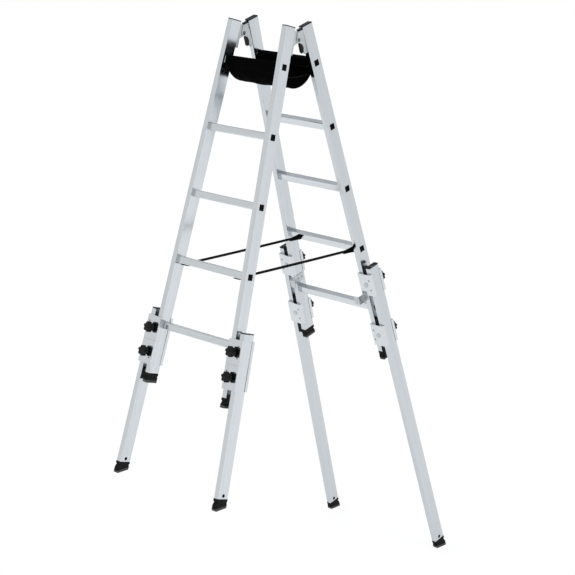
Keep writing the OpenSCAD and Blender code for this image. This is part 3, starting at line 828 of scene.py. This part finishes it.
def pouchLine(s):
    # half the cloth's line from the front seam to the lowest point, in the plane across the rungs:
    # up the inside of the rung's sleeve, over it, down its front, under its edge and into the belly
    h = ladder["rungSide"] / 2 + ladder["clothGap"] + s["sleeveGap"]
    r = s["sleeveRadius"]
    straight, bent, tucked, bellied = 12, 14, 11, 60
    corner = np.linspace(0, np.pi / 2, bent)
    inner = np.stack([np.full(straight, -h), np.linspace(h - s["sleeveHem"], -h + r, straight)], 1)
    over = np.stack([-h + r - r * np.cos(corner), -h + r - r * np.sin(corner)], 1)
    outer = np.stack([h - r + r * np.sin(corner), -h + r - r * np.cos(corner)], 1)
    under = np.stack([h - r + r * np.cos(corner), h - r + r * np.sin(corner)], 1)[:tucked]
    sleeve = np.concatenate([inner, over, outer, under])
    out, down = ladder["stileMid"] + sleeve[:, 0], ladder["firstRung"] + sleeve[:, 1]
    sleeve = (sectionPoint(True, 0.0, out, down) - hingePin)[:, 1:]
    angle = np.linspace(math.radians(s["bellyFrom"]), np.pi / 2, bellied)
    belly = s["bellyRadius"] * np.stack([-np.cos(angle), -np.sin(angle)], 1) - (0.0, s["bellyDrop"])
    return np.concatenate([sleeve, belly])


def pouchShape(s):
    # the line and its mirror image carried across the ladder; below the rungs the cloth is pushed
    # along its normal by a sum of crossing waves that dies out at the ends, and sags in the middle
    line = pouchLine(s)
    whole = np.concatenate([line, (line * (-1, 1))[::-1][1:]])
    whole = soften(resample(whole, s["along"]), 3)
    run = unit(np.gradient(whole, axis=0))
    x = np.linspace(-s["half"], s["half"], s["across"])
    u = x[:, None] / s["half"]
    v = np.linspace(-1, 1, s["along"])[None, :]
    fold = np.sin(5.1 * u + 3.0 * v) * np.sin(2.3 * u - 7.0 * v + 0.7)
    fold += 0.6 * np.sin(9.4 * u + 11.0 * v * v)
    fold += 0.5 * np.sin(17.0 * u - 4.0 * v) * np.cos(13.0 * v)
    depth = np.clip((s["wrinkleFrom"] - whole[:, 1]) / s["wrinkleOver"], 0, 1)[None, :]
    push = s["wrinkle"] * fold * depth * (1 - u ** 8)
    y = whole[None, :, 0] - push * run[None, :, 1]
    z = whole[None, :, 1] + push * run[None, :, 0] - s["sag"] * depth * (1 - u * u)
    grid = np.stack([np.repeat(x[:, None], s["along"], 1), y, z], axis=-1) + hingePin
    long = np.r_[0, np.cumsum(np.linalg.norm(np.diff(whole, axis=0), axis=1))]
    uv = np.stack(np.broadcast_arrays(x[:, None], long[None, :]), axis=-1)
    return grid, uv, whole, long[-1]


def pouchEnd(s, rim, outward):
    # D-shaped end: straight lines from the seam up to the sagging top edge, bulged outwards
    v = np.linspace(0, 1, len(rim))
    t = np.linspace(0, 1, s["endRows"])[None, :, None]
    draw = s["endDraw"]
    edge = np.linspace(rim[0, 1], rim[-1, 1], len(rim)) * draw + hingePin[1] * (1 - draw)
    level = hingePin[2] + s["endLevel"] - s["endSag"] * np.sin(np.pi * v)
    top = np.stack([rim[:, 0], edge, level], 1)
    face = rim[:, None, :] * (1 - t) + top[:, None, :] * t
    bulge = s["endBulge"] * np.sin(np.pi * t[..., 0]) * np.sin(np.pi * v)[:, None]
    face[..., 0] += outward * (bulge - s["endInset"])
    return face


def stitchBars(s, grid):
    # short rounded bars in rows along the sleeves: each is a run of rings that bows out of the cloth
    count = int(2 * s["half"] / s["stitchPitch"])
    middle = (np.arange(count) - (count - 1) / 2) * s["stitchPitch"]
    heart = hingePin - (0.0, 0.0, s["bellyDrop"])
    a = np.linspace(-1, 1, s["stitchRings"])[:, None]
    ring = ringAngles(s["stitchSides"])
    fat = s["stitchRadius"] * np.sqrt(np.clip(1.05 - a * a, 0.05, 1))
    lift = (1 - a * a) * s["stitchBow"] + fat * np.cos(ring)
    spread = fat * np.sin(ring)
    last = s["along"] - 1
    rows = []
    for row in s["stitchRows"] + tuple(last - row for row in s["stitchRows"][::-1]):
        base = np.stack([np.interp(middle, grid[:, row, 0], grid[:, row, k]) for k in range(3)], 1)
        run = unit(grid[s["across"] // 2, row + 1] - grid[s["across"] // 2, row - 1])
        out = np.cross(run, (1.0, 0.0, 0.0))
        out *= np.sign(out @ (base.mean(0) - heart))
        bar = lift[..., None] * out + spread[..., None] * run
        bar[..., 0] += a * s["stitchLength"] / 2
        rows.append(base[:, None, None, :] + out * (s["cloth"] / 2) + bar[None])
    bars = np.concatenate(rows)
    first = np.arange(len(bars))[:, None, None] * (len(a) * len(ring))
    return bars, (gridFaces(len(a), len(ring), True)[None] + first).reshape(-1, 4)


def pouchPieces(s, cloth, yarn):
    grid, uv, whole, length = pouchShape(s)
    made = []

    def addSheet(name, points, faces, cut, thick):
        # cloth with a wall, half of it on either side
        piece = makePiece(name, points, faces, cut, outward=False)
        wall = piece.modifiers.new("clothWall", "SOLIDIFY")
        wall.thickness = thick
        wall.offset = 0.0
        giveFinish(piece, cloth)
        made.append(piece)

    def addBinding(name, line, radius):
        # a round binding along a line
        piece = makeTube(name, tubeAlong(line, radius, s["bindingSides"]))
        giveFinish(piece, yarn)
        made.append(piece)

    addSheet("pouchPanel", grid, gridFaces(s["across"], s["along"]), uv, s["cloth"])
    seam = np.flatnonzero(whole[:, 1] < s["seamLevel"])
    low = np.flatnonzero(whole[:, 1] < s["endLevel"] - s["endStart"])
    for side, column, outward in (("left", 0, -1), ("right", -1, 1)):
        face = pouchEnd(s, grid[column, low], outward)
        faces = gridFaces(len(low), s["endRows"])
        addSheet(side + "PouchEnd", face, faces, face[..., 1:], s["cloth"] * s["endCloth"])
        inset = (s["pipeInset"] * outward, 0.0, 0.0)
        addBinding(side + "PouchPiping", grid[column, seam] - inset, s["pipeRadius"])
        addBinding(side + "PouchLip", face[:, -1], s["pipeRadius"])
    for side, row in (("front", 0), ("rear", -1)):
        addBinding(side + "PouchHem", grid[:, row], s["hemRadius"])
    stitches = makePiece("pouchStitches", *stitchBars(s, grid))
    giveFinish(stitches, yarn)
    made.append(stitches)
    for piece in made:
        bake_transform(piece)
        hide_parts("tool_pouch")
    print("pouch panel is cut", round(2 * s["half"], 4), "by", round(float(length), 4), "m")


pouchCloth = clothFinish("pouchCloth")
pouchPieces(pouchSettings, pouchCloth, threads)


# star knobs: a lobed grip with rounded edges, a hub and a plated collar

knobSettings = {
    "lobes": 6,
    "valley": 0.0160,
    "crest": 0.0223,
    "roll": 16.0,  # degrees from a lobe that points up the stile
    "height": 0.0232,
    "rim": 0.0020,
    "rimFrom": 0.0008,  # above the grip's underside
    "rimBelow": 0.0012,  # below the grip's height
    "rimDraw": 1.15,  # how much further the upper rim is drawn in
    "rimRings": 9,
    "hub": 0.0006,  # of the cap over the bolt's end
    "hubRadius": 0.86,  # of the crest, where the lobes have faded out
    "fade": (0.46, 0.34),  # share of the radius where the lobes start, and over which they grow
    # outlines from the underside inwards: share of the radius, and metres above the underside,
    # metres below the height, or share of the hub
    "underside": [(0.60, 0.0002), (0.80, 0.0006)],
    "dish": [(0.78, 0.0008), (0.66, 0.0005), (0.56, 0.0004), (0.50, 0.0006), (0.475, 0.0010), (0.46, 0.0010)],
    "cap": [(0.44, 0.0), (0.42, 0.5), (0.40, 0.74), (0.36, 0.90), (0.30, 0.97), (0.16, 1.0), (0.02, 1.0)],
    "neck": 0.0034,
    "neckRadius": 0.0095,
    # shares of the neck's radius and length
    "neckLine": [(0.45, -1.0), (0.96, -1.0), (1.0, -0.96), (1.0, -0.28), (1.06, -0.12), (1.16, -0.02)],
    "collar": 0.0035,
    "collarRadius": 0.0085,
    "collarBore": 0.0042,
    # shares of the collar's radius and height, between the two ends of its bore
    "collarLine": [(1.0, 0.0), (1.0, 0.18), (0.92, 0.24), (0.80, 0.28), (0.78, 1.0)],
    "collarEnds": (0.0, 1.04),
    "collarSides": 48,
    "seat": 0.012 - 0.0003,  # from the joint's point back to the plate
    "columns": 144,
}


def knobShape(s):
    # radius: valley plus a rounded swell at each lobe, times a profile that rounds over at both rims;
    # a round cap rises over the bolt's end, and a round neck runs down to the collar
    turn = ringAngles(s["columns"])
    swell = (0.5 + 0.5 * np.cos(s["lobes"] * (turn - np.pi / 2 - math.radians(s["roll"])))) ** 0.5
    radius = s["valley"] + (s["crest"] - s["valley"]) * swell
    q = np.linspace(0, np.pi / 2, s["rimRings"])
    h, r = s["height"], s["rim"]
    underside, dish, cap, neck = [np.array(s[key]) for key in ("underside", "dish", "cap", "neckLine")]
    lowerRim = 1 - (r - r * np.sin(q)) / s["crest"]
    upperRim = 1 - (r - r * np.cos(q[1:])) / s["crest"] * s["rimDraw"]
    scale = np.concatenate([underside[:, 0], lowerRim, upperRim, dish[:, 0], cap[:, 0]])
    level = np.concatenate([
        neck[:, 1] * s["neck"], underside[:, 1], s["rimFrom"] + r - r * np.cos(q),
        h - s["rimBelow"] - r + r * np.sin(q[1:]), h - dish[:, 1], h + s["hub"] * cap[:, 1]])
    # the hub in the middle is round, so the lobes fade out towards it
    fadeFrom, fadeOver = s["fade"]
    fade = np.clip((scale - fadeFrom) / fadeOver, 0, 1)[:, None]
    hubRadius = s["crest"] * s["hubRadius"]
    ring = scale[:, None] * (hubRadius + (radius[None, :] - hubRadius) * fade)
    neckRing = np.repeat(neck[:, :1] * s["neckRadius"], s["columns"], 1)
    return lathe(np.concatenate([neckRing, ring]), level + s["collar"] + s["neck"], turn)


def collarShape(s):
    # a flange, a step and a sleeve round the bolt
    line = np.array(s["collarLine"])
    foot, top = s["collarEnds"]
    radius = np.r_[s["collarBore"], line[:, 0] * s["collarRadius"], s["collarBore"]]
    level = np.r_[foot, line[:, 1], top] * s["collar"]
    return lathe(radius[:, None], level, ringAngles(s["collarSides"]))


def knobPieces(s, grip, plated):
    starShape, discShape = knobShape(s), collarShape(s)
    discFaces = gridFaces(*discShape.shape[:2], True)
    for name, joint in joints.items():
        if not name.endswith("_knob_turn"):
            continue
        half, side = name.split("_")[:2]
        out = unit(np.array(joint["axis"], float))
        across = np.array(stileTurn(half == "front", side == "right").col[0]) * (1 if side == "right" else -1)
        turnTo = np.stack([across, np.cross(out, across), out])
        base = np.array(joint["pos_m"], float) - out * s["seat"]
        body = joint["child"]
        node = name.removesuffix("_turn")
        star = makeTube(node + "Star", starShape @ turnTo + base, sharp=60)
        disc = makePiece(node + "Collar", discShape @ turnTo + base, discFaces, sharp=40)
        giveFinish(star, grip)
        giveFinish(disc, plated)
        for piece in (star, disc):
            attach(piece, body)
            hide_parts(node)


knobGrip = mouldingFinish("knobGrip", tone=1.5, rough=0.02)
knobPieces(knobSettings, knobGrip, finishes["zinc"])
print("knobs made")


# stud caps: a nearly flat black head on each end of the studs that hold the leg shoes

capSettings = {
    "down": {"front": 1.8338, "rear": 2.4251},  # along a stile from the hinge pin, legs at rest
    "across": 0.0454,  # from a stile's middle line
    "radius": 0.0078,
    "rise": 0.00015,
    "sunk": 0.00005,
    "levels": (0.0, 0.35, 0.6, 0.8, 0.92, 0.98, 1.0),  # rings, as shares of the rise
    "tip": 0.0004,  # square of the last ring's radius, as a share
    "sides": 40,
}


def studCaps(s, finish):
    # each head: rings whose radius falls as the root of one minus the square of their level
    level = np.array(s["levels"])
    ring = s["radius"] * np.sqrt(np.clip(1 + s["tip"] - level ** 2, 0, 1))
    head = lathe(ring[:, None], level * s["rise"], ringAngles(s["sides"]))
    c, d = math.cos(splayAngle), math.sin(splayAngle)
    for half, along in s["down"].items():
        for side, sign in (("left", -1), ("right", 1)):
            front, turn = half == "front", stileTurn(half == "front", side == "right")
            out, up = np.array(turn.col[0]), np.array(turn.col[2])
            middle = sectionPoint(front, sign * (stileStart + s["across"] * c + along * d),
                                  ladder["stileMid"], along * c - s["across"] * d)
            for word, way in (("Inner", -sign), ("Outer", sign)):
                turnTo = np.stack([np.cross(up, out * way), up, out * way])
                base = middle + out * way * (ladder["stileWidth"] / 2 - s["sunk"])
                cap = makeTube(half + side.capitalize() + word + "StudCap", head @ turnTo + base, sharp=50)
                giveFinish(cap, finish)
                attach(cap, joints[half + "_" + side + "_leg_slide"]["child"])


studCaps(capSettings, finishes["plug"])
print("stud caps made")


# floor and light

studio = {
    "floor": (0.93, 0.93, 0.93, 1.0),
    "floorGlow": 0.88,  # share of plain white that the camera alone sees on the floor
    "floorHalf": 60.0,
    "floorRough": 0.9,
    "floorShine": 0.1,
    "horizon": (0.91, 0.91, 0.91, 1.0),
    "overhead": (0.60, 0.62, 0.64, 1.0),
    "skyBand": (0.15, 0.95),  # upward part of a ray between horizon and overhead
    "sun": 1.32,  # lights the floor and the blacks, unseen in the metal
    "sunPlace": (-2.0, -3.0, 9.0),
    "sunTarget": (0.0, 0.0, 0.0),
    "sunSpread": 70.0,  # degrees
    "lamps": {"softKey": ((-1.0, -6.0, 7.0), 3.0, 40.0), "softFill": ((6.5, 1.0, 6.0), 3.0, 40.0)},
    "lampTarget": (0.0, 0.0, 1.2),
}


def aimed(place, target):
    # matrix of a lamp at place that looks at target and isn't overhead
    ahead = unit(np.array(target, float) - np.array(place, float))
    right = unit(np.cross(ahead, (0.0, 0.0, 1.0)))
    up = np.cross(right, ahead)
    return Matrix([[right[i], up[i], -ahead[i], place[i]] for i in range(3)] + [[0, 0, 0, 1]])


def addLamp(name, kind, place, target):
    lamp = bpy.data.lights.new(name, kind)
    holder = bpy.data.objects.new(name, lamp)
    holder.matrix_world = aimed(place, target)
    bpy.context.scene.collection.objects.link(holder)
    return holder, lamp


def paleFloor(s):
    # a flat square round the origin, nearly plain white for the camera and matt for every other ray
    half, points = s["floorHalf"], 5
    side = np.linspace(-half, half, points)
    grid = np.stack(np.meshgrid(side, side, [0.0], indexing="ij"), axis=-1)
    floor = makePiece("paleFloor", grid, gridFaces(points, points), outward=False)
    finish, surface, place = startFinish("paleFloorPaint")
    surface.inputs["Base Color"].default_value = s["floor"]
    surface.inputs["Roughness"].default_value = s["floorRough"]
    surface.inputs["Specular IOR Level"].default_value = s["floorShine"]
    white = place.node("ShaderNodeEmission", {}, {})
    seen = place.node("ShaderNodeLightPath", {}, {}) * s["floorGlow"]
    matt = Wire(place.tree, surface.outputs[0])
    mixed = place.node("ShaderNodeMixShader", {}, {0: seen, 1: matt, 2: white})
    plug(mixed, place.tree.nodes["Material Output"], "Surface")
    giveFinish(floor, finish)


def studioSky(s):
    # a pale sky that darkens from the horizon up
    world = bpy.data.worlds.new("studioLight")
    bpy.context.scene.world = world
    world.use_nodes = True
    tree = world.node_tree
    ray = Wire(tree, tree.nodes.new("ShaderNodeTexCoord").outputs["Generated"])
    height = ray.axis(2).band(*s["skyBand"])
    plug(height.between(s["horizon"], s["overhead"]), tree.nodes["Background"], "Color")


def studioStage(s):
    paleFloor(s)
    studioSky(s)
    holder, lamp = addLamp("softSun", "SUN", s["sunPlace"], s["sunTarget"])
    lamp.energy = s["sun"]
    lamp.angle = math.radians(s["sunSpread"])
    holder.visible_glossy = False
    for name, (place, size, power) in s["lamps"].items():
        holder, lamp = addLamp(name, "AREA", place, s["lampTarget"])
        lamp.energy = power
        lamp.size = size
    bpy.context.scene.view_settings.view_transform = "Standard"


studioStage(studio)
print("studio set")
